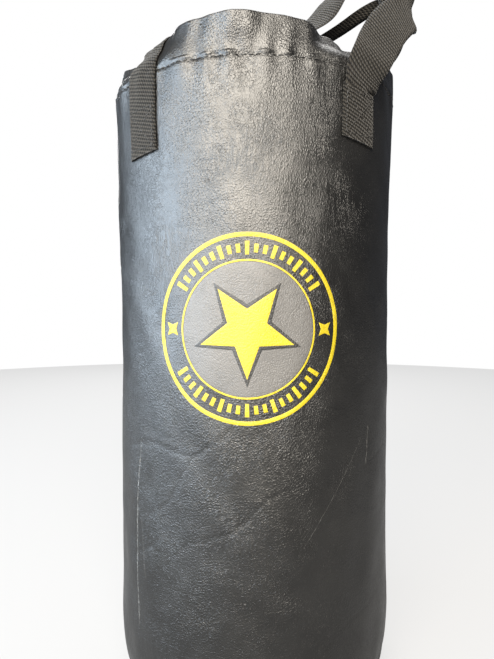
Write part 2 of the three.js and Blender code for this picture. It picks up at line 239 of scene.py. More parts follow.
# ---------------------------------------------------------------- materials
class Shader:
    """A Principled material with short calls for its nodes."""

    def __init__(self, name, colour, roughness, metallic=0.0, specular=0.5, on_cloth=False):
        self.material = bpy.data.materials.new(name)
        self.material.use_nodes = True
        self.tree = self.material.node_tree
        self.surface = self.tree.nodes["Principled BSDF"]
        self.surface.inputs["Base Color"].default_value = (*colour, 1)
        self.surface.inputs["Roughness"].default_value = roughness
        self.surface.inputs["Metallic"].default_value = metallic
        self.surface.inputs["Specular IOR Level"].default_value = specular
        self.place = self.add("ShaderNodeTexCoord").outputs["Object"]
        if on_cloth:
            self.place = self.add("ShaderNodeUVMap", uv_map="weave").outputs["UV"]

    def add(self, kind, **settings):
        node = self.tree.nodes.new(kind)
        for key, value in settings.items():
            setattr(node, key, value)
        return node

    def feed(self, node, **values):
        for key, value in values.items():
            socket = node.inputs[key.replace("_", " ")]
            if isinstance(value, bpy.types.NodeSocket):
                self.tree.links.new(value, socket)
            else:
                socket.default_value = value
        return node

    def noise(self, scale, detail=4.0, rough=0.55, vector=None):
        node = self.add("ShaderNodeTexNoise")
        self.feed(node, Vector=vector or self.place, Scale=scale, Detail=detail, Roughness=rough)
        return node.outputs["Fac"]

    def cells(self, scale, feature="DISTANCE_TO_EDGE", vector=None):
        node = self.add("ShaderNodeTexVoronoi", feature=feature)
        self.feed(node, Vector=vector or self.place, Scale=scale)
        return node.outputs["Distance"]

    def stretch(self, scale, turn=(0, 0, 0), vector=None):
        node = self.add("ShaderNodeMapping")
        self.feed(node, Vector=vector or self.place, Scale=scale, Rotation=turn)
        return node.outputs["Vector"]

    def remap(self, value, low, high, to_low=0.0, to_high=1.0):
        node = self.add("ShaderNodeMapRange")
        self.feed(node, Value=value, From_Min=low, From_Max=high, To_Min=to_low, To_Max=to_high)
        return node.outputs["Result"]

    def sums(self, first, second, kind="ADD"):
        node = self.add("ShaderNodeMath", operation=kind)
        for socket, value in zip(node.inputs, (first, second)):
            if isinstance(value, bpy.types.NodeSocket):
                self.tree.links.new(value, socket)
            else:
                socket.default_value = value
        return node.outputs[0]

    def colours(self, share, first, second):
        node = self.add("ShaderNodeMix", data_type="RGBA")
        self.tree.links.new(share, node.inputs["Factor"])
        node.inputs[6].default_value = (*first, 1)
        node.inputs[7].default_value = (*second, 1)
        self.tree.links.new(node.outputs[2], self.surface.inputs["Base Color"])
        return node.outputs[2]

    def rough(self, value):
        self.tree.links.new(value, self.surface.inputs["Roughness"])

    def bump(self, height, distance, strength=1.0):
        node = self.add("ShaderNodeBump")
        node.inputs["Strength"].default_value = strength
        node.inputs["Distance"].default_value = distance
        self.tree.links.new(height, node.inputs["Height"])
        before = self.surface.inputs["Normal"].links
        if before:
            self.tree.links.new(before[0].from_socket, node.inputs["Normal"])
        self.tree.links.new(node.outputs["Normal"], self.surface.inputs["Normal"])


# Scratches and scuffs on the skin: angle from the front centre line, height of the middle, lean, bend,
# half length, width and strength
SCRATCHES = [
    (-48.6, 0.178, 0.02, 0.9, 0.095, 0.0009, 0.85),
    (-44.0, 0.165, -0.15, 0.5, 0.030, 0.0006, 0.35),
    (33.0, 0.230, 0.75, 0.4, 0.045, 0.0005, 0.35),
    (50.0, 0.265, 0.10, 0.3, 0.020, 0.0010, 0.45),
    (-12.0, 0.118, 3.2, 1.0, 0.012, 0.0005, 0.30),
    (160.0, 0.300, 0.30, 0.5, 0.060, 0.0007, 0.45),
    (110.0, 0.200, -0.2, 0.8, 0.050, 0.0007, 0.40),
]


def scratch_mask(s):
    """Where the skin is scratched, from 0 to 1, as a socket."""
    split = s.add("ShaderNodeSeparateXYZ")
    s.tree.links.new(s.place, split.inputs[0])
    shake = s.sums(s.sums(s.noise(70, 3), 0.5, "SUBTRACT"), 0.004, "MULTIPLY")
    broken = s.remap(s.noise(260, 4, 0.7), 0.38, 0.6)
    total = None
    for degrees, level, slope, bend, half, width, strength in SCRATCHES:
        rise = s.sums(split.outputs["Y"], level, "SUBTRACT")
        curve = s.sums(s.sums(rise, rise, "MULTIPLY"), bend, "MULTIPLY")
        line = s.sums(s.sums(rise, slope, "MULTIPLY"), curve, "ADD")
        along = s.sums(split.outputs["X"], math.radians(degrees) * BAG_RADIUS, "SUBTRACT")
        off = s.sums(s.sums(along, line, "SUBTRACT"), shake, "ADD")
        near = s.remap(s.sums(off, 0.0, "ABSOLUTE"), width, width * 0.3)
        inside = s.remap(s.sums(rise, 0.0, "ABSOLUTE"), half, half * 0.85)
        mark = s.sums(s.sums(near, inside, "MULTIPLY"), strength, "MULTIPLY")
        total = mark if total is None else s.sums(total, mark, "MAXIMUM")
    return s.sums(total, broken, "MULTIPLY")


def pebble(s):
    """Pebbled grain, stretched in patches the way the skin was pulled, as a height from 0 to 1."""
    warp = s.add("ShaderNodeTexNoise")
    s.feed(warp, Vector=s.place, Scale=85.0, Detail=3.0)
    warped = s.add("ShaderNodeVectorMath", operation="MULTIPLY_ADD")
    s.tree.links.new(warp.outputs["Color"], warped.inputs[0])
    warped.inputs[1].default_value = (0.0030, 0.0030, 0.0030)
    s.tree.links.new(s.place, warped.inputs[2])
    one = s.cells(1.0, vector=s.stretch((560, 440, 1), (0, 0, 0.7), warped.outputs[0]))
    two = s.cells(1.0, vector=s.stretch((540, 430, 1), (0, 0, -0.6), warped.outputs[0]))
    patch = s.remap(s.noise(14, 3), 0.42, 0.58)
    other = s.sums(1.0, patch, "SUBTRACT")
    mix = s.sums(s.sums(one, patch, "MULTIPLY"), s.sums(two, other, "MULTIPLY"), "ADD")
    return s.remap(mix, 0.0, 0.30)


def hairline(s, scale, turn, width):
    """Fine wrinkle lines along one direction: 0 on a line and 1 away from it."""
    value = s.noise(1.0, 5, 0.6, s.stretch((*scale, 1), (0, 0, turn)))
    return s.remap(s.sums(s.sums(value, 0.5, "SUBTRACT"), 0.0, "ABSOLUTE"), 0.0, width)


def vinyl_material(name="vinyl_grain", base=(0.0032, 0.0031, 0.0030)):
    s = Shader(name, base, 0.36, specular=0.50, on_cloth=True)
    grain = pebble(s)
    rising = hairline(s, (140, 26), -0.75, 0.030)
    falling = hairline(s, (150, 30), 0.80, 0.028)
    upright = hairline(s, (120, 14), 0.06, 0.016)
    level = hairline(s, (4, 55), 0.04, 0.010)
    s.bump(s.noise(1900, 3, 0.6), 0.00010, 0.5)
    s.bump(grain, 0.00026, 0.75)
    creased = s.sums(s.sums(rising, falling, "MULTIPLY"), upright, "MULTIPLY")
    gathered = s.remap(s.noise(9, 3), 0.45, 0.62, 0.15, 1.0)  # wrinkles come in patches
    s.bump(s.sums(s.sums(1.0, creased, "SUBTRACT"), gathered, "MULTIPLY"), -0.0005, 0.40)
    s.bump(level, 0.0005, 0.14)
    s.bump(s.noise(34, 3), 0.0009, 0.5)
    scratches = scratch_mask(s)
    wear = s.remap(s.noise(16, 6), 0.42, 0.75)
    rubbed = s.remap(s.noise(1.0, 8, 0.7, s.stretch((9, 90, 1), (0, 0, 0.15))), 0.66, 0.80)
    dull = s.sums(s.sums(wear, 0.03, "MULTIPLY"), s.sums(rubbed, 0.03, "MULTIPLY"), "ADD")
    s.colours(s.sums(scratches, dull, "ADD"), base, (0.11, 0.11, 0.105))
    shine = s.remap(s.noise(40, 5), 0.3, 0.7, 0.31, 0.40)
    s.rough(s.sums(shine, s.sums(grain, -0.05, "MULTIPLY"), "ADD"))
    return s.material


def print_material(name, colour, worn):
    s = Shader(name, colour, 0.5, specular=0.45, on_cloth=True)
    grain = pebble(s)
    valleys = s.remap(grain, 0.22, 0.0)
    age = s.remap(s.noise(110, 6, 0.7), 0.46, 0.62)
    s.colours(s.sums(age, valleys, "MULTIPLY"), colour, worn)
    s.bump(grain, 0.00028, 0.75)
    s.bump(s.noise(34, 3), 0.0009, 0.5)
    return s.material


def webbing_material():
    """Ribbed webbing: rows across the strap, each cut into short slanting floats of yarn."""
    s = Shader("webbing_weave", (0.009, 0.009, 0.009), 0.8, specular=0.07, on_cloth=True)
    s.surface.inputs["Sheen Weight"].default_value = 0.06
    s.surface.inputs["Sheen Roughness"].default_value = 0.5
    split = s.add("ShaderNodeSeparateXYZ")
    s.tree.links.new(s.place, split.inputs[0])
    across = s.sums(split.outputs["X"], TAU / 0.0030, "MULTIPLY")
    along = s.sums(split.outputs["Y"], TAU / 0.0032, "MULTIPLY")
    row_phase = s.sums(along, s.sums(across, 0.28, "MULTIPLY"), "ADD")
    rows = s.remap(s.sums(row_phase, 0.0, "SINE"), -1, 1)
    cells = s.remap(s.sums(s.sums(across, s.sums(row_phase, 0.5, "MULTIPLY"), "ADD"), 0.0, "SINE"), -1, 1)
    height = s.sums(s.sums(rows, 0.62, "MULTIPLY"), s.sums(cells, 0.38, "MULTIPLY"), "ADD")
    s.bump(height, 0.0014, 0.9)
    s.bump(s.noise(900, 3), 0.00015, 0.5)
    fuzz = s.remap(s.noise(240, 5), 0.45, 0.8)
    # painted light and shade: the colour follows the weave's height, near black in the gaps between the rows
    # (painted shade) and lighter on the raised rows (painted highlight); the fuzz noise, a quarter of the share,
    # is the yarn's own random tone
    lit = s.remap(height, 0.3, 0.85)
    s.colours(s.sums(s.sums(lit, 0.75, "MULTIPLY"), s.sums(fuzz, 0.25, "MULTIPLY"), "ADD"),
              (0.0006, 0.0006, 0.0006), (0.027, 0.0245, 0.0208))
    return s.material


def thread_material(name, colour):
    s = Shader(name, colour, 0.6, specular=0.35)
    twist = s.noise(1.0, 3, 0.5, s.stretch((900, 900, 400), (0.4, 0.5, 0)))
    s.bump(twist, 0.0002, 0.6)
    s.colours(s.remap(twist, 0.3, 0.7), colour, tuple(1.5 * c for c in colour))
    return s.material


def metal_material(name, colour, roughness, coated=0.0):
    s = Shader(name, colour, roughness, metallic=1.0 - coated)
    marks = s.noise(160, 6, 0.65)
    s.rough(s.remap(marks, 0.3, 0.75, roughness * 0.7, roughness * 1.35))
    bare = tuple(min(1.0, 1.5 * c + 0.02) for c in colour)
    s.colours(s.remap(s.noise(60, 6, 0.6), 0.55, 0.75), colour, bare)
    s.bump(s.noise(500, 3), 0.00008, 0.4)
    return s.material


def cloth_material(name, colour, pitch=0.0012):
    s = Shader(name, colour, 0.9, specular=0.2)
    weave = s.sums(s.noise(1 / pitch, 2), s.cells(1 / pitch, "F1"), "MULTIPLY")
    s.bump(weave, 0.0004, 0.7)
    s.colours(s.remap(s.noise(180, 5), 0.35, 0.7), tuple(0.7 * c for c in colour), colour)
    return s.material


VINYL = vinyl_material()
WEBBING = webbing_material()
THREAD = thread_material("hem_thread", (0.016, 0.0155, 0.015))
STRAP_THREAD = thread_material("strap_thread", (0.011, 0.0105, 0.010))
YELLOW = print_material("print_yellow_ink", (0.24, 0.188, 0.0006), (0.06, 0.048, 0.003))
GREY_INK = print_material("print_grey_ink", (0.056, 0.054, 0.052), (0.014, 0.014, 0.0135))
DARK_INK = print_material("print_dark_ink", (0.005, 0.005, 0.005), (0.012, 0.012, 0.012))
STEEL = metal_material("ring_steel_dark", (0.16, 0.17, 0.19), 0.32)
ZIP_METAL = metal_material("zip_enamel", (0.035, 0.035, 0.038), 0.38, coated=0.6)
ZIP_TAPE = cloth_material("zip_tape_weave", (0.022, 0.022, 0.024))


# ---------------------------------------------------------------- the shell
def make_shell():
    """The wall and its folded collar: up the outside, over the rim and down inside to the hem."""
    columns = 440
    theta = np.linspace(-math.pi, math.pi, columns, endpoint=False)
    fold_start = RIM - COLLAR_WALL / 2
    heights = list(BASE_GAP + (FOOT_TOP - BASE_GAP) * (1 - np.cos(np.linspace(0, 1, 34) * math.pi / 2)))
    heights += list(np.linspace(FOOT_TOP, COLLAR_START, 215)[1:])
    heights += list(np.linspace(COLLAR_START, fold_start, 44)[1:])
    rows = [bag_point(theta, z) for z in heights]
    for turn in np.linspace(0, math.pi, 9)[1:-1]:
        z = RIM - COLLAR_WALL / 2 * (1 - math.sin(turn))
        inward = COLLAR_WALL / 2 * (1 - math.cos(turn))
        rows.append(bag_point(theta, z, inward=inward))
    for z in np.linspace(fold_start, HEM + 0.0008, 16):
        rows.append(bag_point(theta, z, inward=COLLAR_WALL))
    under = bag_point(theta, 0.0022)  # the lower edge turned in under the base
    under[:, :2] *= 0.992
    rows.insert(0, under)
    skin_uv = np.zeros((len(rows), columns, 2))
    skin_uv[:, :, 0] = theta * BAG_RADIUS
    skin_uv[:, :, 1] = np.stack(rows)[:, :, 2]
    return mesh_piece("bag_shell", np.stack(rows), grid_faces(len(rows), columns, wrap_columns=True), VINYL,
                      uv=skin_uv.reshape(-1, 2), wrap=TAU * BAG_RADIUS)


shell = make_shell()
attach(shell, "bag")
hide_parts("shell_panel", "rim_collar")


# ---------------------------------------------------------------- sewing
def stitches(name, places, material, thick=0.0009, length=STITCH, body="bag"):
    """A row of stitches. places is a list of (point, direction, outward normal)."""
    verts, faces = [], []
    sides, rings = 6, 5
    for point, direction, normal in places:
        along = Vector(direction).normalized()
        up = Vector(normal).normalized()
        aside = along.cross(up).normalized()
        first = len(verts)
        for r in range(rings):
            t = r / (rings - 1)
            bulge = math.sin(math.pi * (0.12 + 0.76 * t))
            centre = Vector(point) + along * (t - 0.5) * length + up * thick * (0.55 * bulge - 0.35)
            for k in range(sides):
                a = TAU * k / sides
                out = aside * math.cos(a) + up * math.sin(a)
                verts.append(centre + out * thick * 0.5 * (0.35 + 0.65 * bulge))
        for r in range(rings - 1):
            for k in range(sides):
                k2 = (k + 1) % sides
                faces.append((first + r * sides + k, first + r * sides + k2,
                              first + (r + 1) * sides + k2, first + (r + 1) * sides + k))
        faces.append(tuple(first + k for k in reversed(range(sides))))
        faces.append(tuple(first + (rings - 1) * sides + k for k in range(sides)))
    obj = mesh_piece(name, verts, faces, material)
    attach(obj, body)
    return obj


def skin_frame(theta, z, out=0.0):
    """A point on the skin with its direction round the bag, its direction up, and its outward normal."""
    e = 1e-4
    here = Vector(bag_point(theta, z, out).tolist())
    ahead = Vector(bag_point(theta + e, z, out).tolist()) - here
    above = Vector(bag_point(theta, z + e, out).tolist()) - here
    normal = ahead.cross(above).normalized()
    return here, ahead.normalized(), above.normalized(), normal


hem_count = int(TAU * BAG_RADIUS / STITCH_PITCH)
hem_places = []
for i in range(hem_count):
    point, ahead, above, normal = skin_frame(-math.pi + TAU * i / hem_count, HEM, STITCH_LIFT)
    hem_places.append((point, ahead, normal))
hem = stitches("hem_stitches", hem_places, THREAD, thick=0.0011, length=0.0043)

seam_places = []
for row in (-0.006, 0.003):
    for i in range(int((HEM - 0.03) / STITCH_PITCH)):
        point, ahead, above, normal = skin_frame(math.pi + row / BAG_RADIUS, 0.024 + i * STITCH_PITCH, STITCH_LIFT)
        seam_places.append((point, above, normal))
back_seam = stitches("back_seam_stitches", seam_places, THREAD, thick=0.0010)


# ---------------------------------------------------------------- the print on the front
def on_front(a, h, lift):
    """A place in the print, a to the right of its centre and h above it, on the bag's skin."""
    return bag_point(np.asarray(a) / BAG_RADIUS, PRINT_HEIGHT + np.asarray(h), lift)


def ink(name, shapes, lift, material):
    """Thin ink laid on the skin.

    Each shape is a centre, its inner and outer radius at an angle, the angles at its two ends, and how
    many spokes and rings it has."""
    verts, faces, flat = [], [], []
    thick = 0.00016
    for centre, inner, outer, start, end, spokes, rings in shapes:
        whole = abs(end - start - TAU) < 1e-6
        angles = np.linspace(start, end, spokes, endpoint=not whole)
        first = len(verts)
        for r in range(rings + 1):
            share = r / rings
            radius = np.array([inner(a) + (outer(a) - inner(a)) * share for a in angles])
            edge = -thick if r in (0, rings) else 0.0
            right = centre[0] + radius * np.sin(angles)
            above = centre[1] + radius * np.cos(angles)
            verts.extend(on_front(right, above, lift + edge).tolist())
            flat.extend(zip(right, PRINT_HEIGHT + above))
        faces += grid_faces(rings + 1, spokes, wrap_columns=whole, first=first)
    obj = mesh_piece(name, verts, [tuple(reversed(f)) for f in faces], material, uv=flat)
    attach(obj, "bag")
    return obj


def constant(value):
    return lambda angle: value


def star(points, outer, inner):
    """The outline of a star, as its radius at an angle from one of its points."""
    def radius(angle):
        step = math.pi / points
        share = (angle % (2 * step)) / step
        share = share if share <= 1 else 2 - share
        a = share * step
        bottom = math.sin(step - a) * outer + math.sin(a) * inner
        return outer * inner * math.sin(step) / bottom
    return radius


R = PRINT_RADIUS
MIDDLE = (0, 0)
full = (0, TAU)
dot = constant(0.0001)
ink("print_outer_ring", [(MIDDLE, constant(R * 0.955), constant(R), *full, 180, 4)],
    0.00035, YELLOW)
ink("print_disc", [(MIDDLE, constant(R * 0.002), constant(R * 0.70), *full, 150, 22)],
    0.00030, GREY_INK)
ink("print_inner_ring", [(MIDDLE, constant(R * 0.705), constant(R * 0.725), *full, 160, 2)],
    0.00036, YELLOW)
ink("print_star_edge", [(MIDDLE, dot, star(5, R * 0.60, R * 0.265), *full, 150, 16)],
    0.00052, DARK_INK)
ink("print_star", [(MIDDLE, dot, star(5, R * 0.52, R * 0.215), *full, 150, 16)],
    0.00074, YELLOW)
ticks = []
for centre_angle in (0, math.pi):
    for k in range(-9, 10):
        a = centre_angle + k * math.radians(6.4)
        tall = 0.045 if k % 3 else 0.07
        ticks.append((MIDDLE, constant(R * (0.84 - tall)), constant(R * (0.84 + tall)),
                      a - math.radians(1.5), a + math.radians(1.5), 4, 4))
ink("print_ticks", ticks, 0.00034, YELLOW)
gems = []
for side in (-1, 1):
    gems.append(((side * R * 0.84, 0), dot, star(4, R * 0.10, R * 0.045), *full, 32, 6))
ink("print_side_stars", gems, 0.00034, YELLOW)


# ---------------------------------------------------------------- straps
def spline(stops, samples):
    """Points along a centripetal Catmull-Rom curve, evenly spaced by length."""
    points = [Vector(p) for p in stops]
    points = [points[0] * 2 - points[1]] + points + [points[-1] * 2 - points[-2]]
    fine, marks = [], []
    for i in range(1, len(points) - 2):
        p0, p1, p2, p3 = points[i - 1:i + 3]
        knots = [0.0]
        for a, b in ((p0, p1), (p1, p2), (p2, p3)):
            knots.append(knots[-1] + max((b - a).length, 1e-6) ** 0.5)
        k0, k1, k2, k3 = knots
        for s in range(24):
            t = k1 + (k2 - k1) * s / 24
            a1 = p0 * ((k1 - t) / (k1 - k0)) + p1 * ((t - k0) / (k1 - k0))
            a2 = p1 * ((k2 - t) / (k2 - k1)) + p2 * ((t - k1) / (k2 - k1))
            a3 = p2 * ((k3 - t) / (k3 - k2)) + p3 * ((t - k2) / (k3 - k2))
            b1 = a1 * ((k2 - t) / (k2 - k0)) + a2 * ((t - k0) / (k2 - k0))
            b2 = a2 * ((k3 - t) / (k3 - k1)) + a3 * ((t - k1) / (k3 - k1))
            fine.append(b1 * ((k2 - t) / (k2 - k1)) + b2 * ((t - k1) / (k2 - k1)))
            marks.append(i - 1 + s / 24)
    fine.append(points[-2])
    marks.append(len(points) - 3.0)
    fine = np.array([tuple(p) for p in fine])
    length = np.concatenate([[0], np.cumsum(np.linalg.norm(np.diff(fine, axis=0), axis=1))])
    even = np.linspace(0, length[-1], samples)
    place = np.stack([np.interp(even, length, fine[:, k]) for k in range(3)], -1)
    return place, np.interp(even, length, marks), even


def eased(values, reach=9):
    """Values along a strap with the corners between its stops rounded off."""
    weights = np.hanning(2 * reach + 3)[1:-1]
    weights /= weights.sum()
    padded = np.concatenate([values[:1]] * reach + [values] + [values[-1:]] * reach)
    if values.ndim == 1:
        return np.convolve(padded, weights, "valid")
    return np.stack([np.convolve(padded[:, k], weights, "valid") for k in range(values.shape[1])], -1)


def unit(vectors):
    """The vectors of a list, or of a grid, at length 1."""
    return vectors / np.linalg.norm(vectors, axis=-1)[..., None]


def upright_to(vectors, tangent):
    """The vectors turned square to the tangents."""
    return unit(vectors - (vectors * tangent).sum(1)[:, None] * tangent)


LANES = 15  # points across a strap
ACROSS = np.linspace(-0.5, 0.5, LANES)  # their places, as shares of its width
STRAP_STEP = 0.0022  # between rows along it
SEWN_ROWS = 46


def sewn_rows(angle, low, high, slant):
    """The strap's end, laid on the bag; slant cuts its lower edge at an angle."""
    rows = []
    for z in np.linspace(low, high, SEWN_ROWS):
        cut = slant * ACROSS * STRAP_WIDTH * smooth(1 - (z - low) / 0.02)
        rows.append(bag_point(angle + ACROSS * STRAP_WIDTH / BAG_RADIUS, z + cut, 0.0004))
    return rows


def free_rows(rows, stops):
    """The strap's free run, from the top of its sewn rows along its stops."""
    last = rows[-1]
    across = (last[-1] - last[0]) / np.linalg.norm(last[-1] - last[0])
    points = [rows[-3][LANES // 2], last[LANES // 2]] + [np.array(stop[0]) for stop in stops]
    turns = np.array([across, across] + [np.array(stop[1], float) for stop in stops])
    widths = [STRAP_WIDTH, STRAP_WIDTH] + [stop[2] for stop in stops]
    folds = [0, 0] + [stop[3] for stop in stops]
    length = spline(points, 60)[2][-1]
    path, marks, _ = spline(points, int(length / STRAP_STEP))
    tangent = unit(np.gradient(path, axis=0))
    index = np.clip(marks.astype(int), 0, len(points) - 2)
    share = (marks - index)[:, None]
    turn = upright_to(turns[index] * (1 - share) + turns[index + 1] * share, tangent)
    turn = upright_to(eased(turn), tangent)
    wide = eased(np.interp(marks, range(len(widths)), widths))
    fold = eased(np.interp(marks, range(len(folds)), folds))
    face = np.cross(tangent, turn)
    free = []
    for i in range(int(np.searchsorted(marks, 1.0)) + 1, len(path)):
        curl = fold[i] * 0.006 * (np.cos(ACROSS * TAU) - 0.2)
        groove = -0.0035 * fold[i] * np.exp(-(ACROSS / 0.09) ** 2)
        bow = 0.0015 * (1 - fold[i]) * (1 - (2 * ACROSS) ** 2) * math.sin(i * 0.12)
        free.append(path[i] + np.outer(ACROSS * wide[i], turn[i]) + np.outer(curl + groove + bow, face[i]))
    return free


def strap(name, angle, stops, node_list, sewn_top=RIM - 0.004, slant=0.0):
    """One strap leg: against the bag up to sewn_top, then free along its stops.

    A stop is (point, across, width, fold). fold is how far the strap is folded lengthwise, 0 flat to 1."""
    rows = sewn_rows(angle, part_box(node_list[0])[0][2], sewn_top, slant)
    sewn = len(rows)
    rows = np.array(rows + free_rows(rows, stops))
    normal = unit(np.cross(np.gradient(rows, axis=1), np.gradient(rows, axis=0)))
    # the sewn end lies on the skin with its lower face, and the free run is centred on its path
    lift = np.zeros(len(rows))
    lift[:sewn] = STRAP_THICK / 2
    blend_rows = min(10, len(rows) - sewn)
    lift[sewn:sewn + blend_rows] = STRAP_THICK / 2 * np.linspace(1, 0, blend_rows)
    rows = rows + normal * lift[:, None, None]
    # the section is a flat oval: thinner at its edges, as woven selvedges are
    edge = np.sqrt(np.clip(1 - (np.abs(ACROSS) * 2) ** 6, 0, 1)) * 0.5 + 0.06
    thick = normal * (STRAP_THICK * edge)[:, None]
    sections = np.concatenate([rows + thick, (rows - thick)[:, ::-1]], axis=1)
    count = sections.shape[1]
    length = np.concatenate([[0], np.cumsum(np.linalg.norm(np.diff(rows[:, LANES // 2], axis=0), axis=1))])
    uv = np.zeros((len(rows), count, 2))
    uv[:, :, 0] = np.concatenate([ACROSS, ACROSS[::-1] + 0.013]) * STRAP_WIDTH
    uv[:, :, 1] = length[:, None]
    faces = grid_faces(len(rows), count, wrap_columns=True)
    faces.append(tuple(range(count)))
    faces.append(tuple(reversed(range((len(rows) - 1) * count, len(rows) * count))))
    faces = [tuple(reversed(f)) for f in faces]
    obj = mesh_piece(name, sections.reshape(-1, 3), faces, WEBBING, uv=uv.reshape(-1, 2))
    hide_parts(*node_list)
    return obj


def mm(x, y, z):
    """A point given in millimetres, in metres."""
    return (x / 1000, y / 1000, z / 1000)


BUNCH = 0.015  # a strap's width there

front_left = strap("strap_front_left", -STRAP_TURN, [
    (mm(-84, -96, 641), (0.75, -0.66, 0), STRAP_WIDTH, 0),
    (mm(-73, -86, 645), (0.73, -0.68, 0), STRAP_WIDTH, 0),
    (mm(-20, -60, 657), (0.5, -0.87, 0), STRAP_WIDTH, 0),
    (mm(40, -37, 675), (0.55, -0.8, -0.25), STRAP_WIDTH, 0),
    (mm(69, -24, 698), (0.62, -0.68, -0.4), 0.040, 0),
    (mm(87, -16, 724), (0.52, -0.75, -0.4), 0.038, 0.05),
    (mm(106, -8, 744), (0.2, -0.95, -0.2), 0.028, 0.4),
    (mm(121, -4, 749), (0, -1, 0), 0.018, 0.8),
    (mm(132, -9, 744), (-0.5, -0.8, 0), 0.016, 1),
    (mm(135, -13, 732), (-0.9, -0.3, 0), 0.016, 1),
    (mm(139, -13, 716), (-0.9, -0.4, 0), 0.016, 1),
    (mm(145, -5, 709), (-0.2, -0.9, 0), BUNCH, 1),
    (mm(153, -1, 705.5), (0, -1, 0), BUNCH, 1),
], ["strap_end_front_left", "strap_leg_front_left", "strap_crossing_front"], slant=0.08)

back_left = strap("strap_back_left", math.pi + STRAP_TURN, [
    (mm(-85, 97, 642), (-0.75, -0.66, 0), STRAP_WIDTH, 0),
    (mm(-73, 86, 647), (-0.73, -0.68, 0), STRAP_WIDTH, 0),
    (mm(-20, 60, 661), (-0.5, -0.87, 0), STRAP_WIDTH, 0),
    (mm(50, 34, 685), (-0.3, -0.95, 0), 0.039, 0.1),
    (mm(93, 17, 703), (0, -1, 0), 0.030, 0.5),
    (mm(122, 6, 717), (0, -1, 0), 0.018, 0.9),
    (mm(137, 3, 722), (0, -1, 0), BUNCH, 1),
    (mm(149, 0, 721.5), (0, -1, 0), BUNCH, 1),
    (mm(155, -1, 719.5), (0, -1, 0), BUNCH, 1),
], ["strap_end_back_left", "strap_leg_back_left", "strap_crossing_back"])

front_right = strap("strap_front_right", STRAP_TURN, [
    (mm(102, -114, 603), (0.82, 0.56, -0.12), STRAP_WIDTH, 0),
    (mm(109.5, -112.5, 618), (0.86, 0.42, -0.28), STRAP_WIDTH, 0),
    (mm(117, -104, 634), (0.87, 0.3, -0.4), STRAP_WIDTH, 0),
    (mm(127, -94, 652), (0.84, 0.22, -0.5), STRAP_WIDTH, 0),
    (mm(139, -83, 667), (0.72, 0.2, -0.65), 0.040, 0),
    (mm(149, -74, 677), (0.45, 0.1, -0.88), 0.039, 0.05),
    (mm(156, -62, 682), (0.1, 0, -0.99), 0.038, 0.1),
    (mm(160, -45, 689), (0, 0.2, -0.97), 0.033, 0.2),
    (mm(161, -28, 700), (0, 0.3, -0.95), 0.026, 0.4),
    (mm(160, -13, 711), (0, 0.4, -0.9), 0.019, 0.8),
    (mm(156, -3, 717), (0, 0.5, -0.87), BUNCH, 1),
], ["strap_end_front_right", "strap_leg_front_right"], sewn_top=SEWN_TOP, slant=-0.12)

back_right = strap("strap_back_right", math.pi - STRAP_TURN, [
    (mm(100, 110, 655), (0.75, -0.6, 0), STRAP_WIDTH, 0),
    (mm(110, 100, 674), (0.85, 0.1, 0.1), STRAP_WIDTH, 0),
    (mm(126, 76, 683), (0.75, 0.6, 0), STRAP_WIDTH, 0),
    (mm(139, 52, 681), (0.7, 0.65, 0), 0.038, 0.1),
    (mm(150, 30, 685), (0.7, 0.6, 0), 0.030, 0.4),
    (mm(156, 12, 694), (0.8, 0.4, 0), 0.020, 0.8),
    (mm(154, 0, 704), (0, 1, 0), BUNCH, 1),
], ["strap_end_back_right", "strap_leg_back_right"])

for piece, side in ((front_left, -1), (back_left, 1)):
    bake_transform(piece)
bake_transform(front_right)
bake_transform(back_right)


def strap_sewing(name, angle, node):
    """Box-and-cross sewing on a sewn end."""
    places = []
    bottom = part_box(node)[0][2]
    half, low, high = STRAP_WIDTH / 2 - 0.0042, bottom + 0.006, bottom + 0.041
    corners = [(-half, low), (half, low), (half, high), (-half, high)]
    lines = [(corners[i], corners[(i + 1) % 4]) for i in range(4)]
    lines += [(corners[0], corners[2]), (corners[1], corners[3])]
    for (a0, z0), (a1, z1) in lines:
        run = math.hypot(a1 - a0, z1 - z0)
        count = max(2, int(run / 0.0038))
        for i in range(count):
            t = (i + 0.5) / count
            a, z = a0 + (a1 - a0) * t, z0 + (z1 - z0) * t
            point, ahead, above, normal = skin_frame(angle + a / BAG_RADIUS, z, STRAP_THICK + 0.0006)
            places.append((point, ahead * (a1 - a0) + above * (z1 - z0), normal))
    obj = stitches(name, places, STRAP_THREAD, thick=0.0009, length=0.0031)


for word, angle in (("front_left", -STRAP_TURN), ("front_right", STRAP_TURN),
                    ("back_right", math.pi - STRAP_TURN), ("back_left", math.pi + STRAP_TURN)):
    strap_sewing(f"strap_sewing_{word}", angle, f"strap_end_{word}")


# ---------------------------------------------------------------- ring
def make_ring():
    low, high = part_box("hanging_ring")
    centre = (Vector(low) + Vector(high)) / 2
    axis = Vector(next(j for j in frame["joints"] if j["name"] == "ring_turn")["axis"])
    aside = Vector((0, 1, 0))
    up = aside.cross(axis).normalized()
    verts = []
    around, across = 96, 20
    for i in range(around):
        a = TAU * i / around
        out = aside * math.cos(a) + up * math.sin(a)
        weld = 0.0006 * math.exp(-(((a - 4.4 + math.pi) % TAU - math.pi) / 0.07) ** 2)
        for k in range(across):
            b = TAU * k / across
            lump = weld * (1 + 0.35 * math.sin(5 * b))
            wire = RING_WIRE + lump
            verts.append(centre + out * (RING_RADIUS + wire * math.cos(b)) + axis * wire * math.sin(b))
    obj = mesh_piece("steel_ring", verts, grid_faces(around, across, True, True), STEEL)
    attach(obj, "ring")
    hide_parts("hanging_ring")


make_ring()


# ---------------------------------------------------------------- top and bottom panels
CROWN = 0.0016  # how far the top panel's middle stands above its edge
SHEET_THICK = 0.0014
ZIP_GAP = 0.0066  # from the middle of the zip to the panel's edge


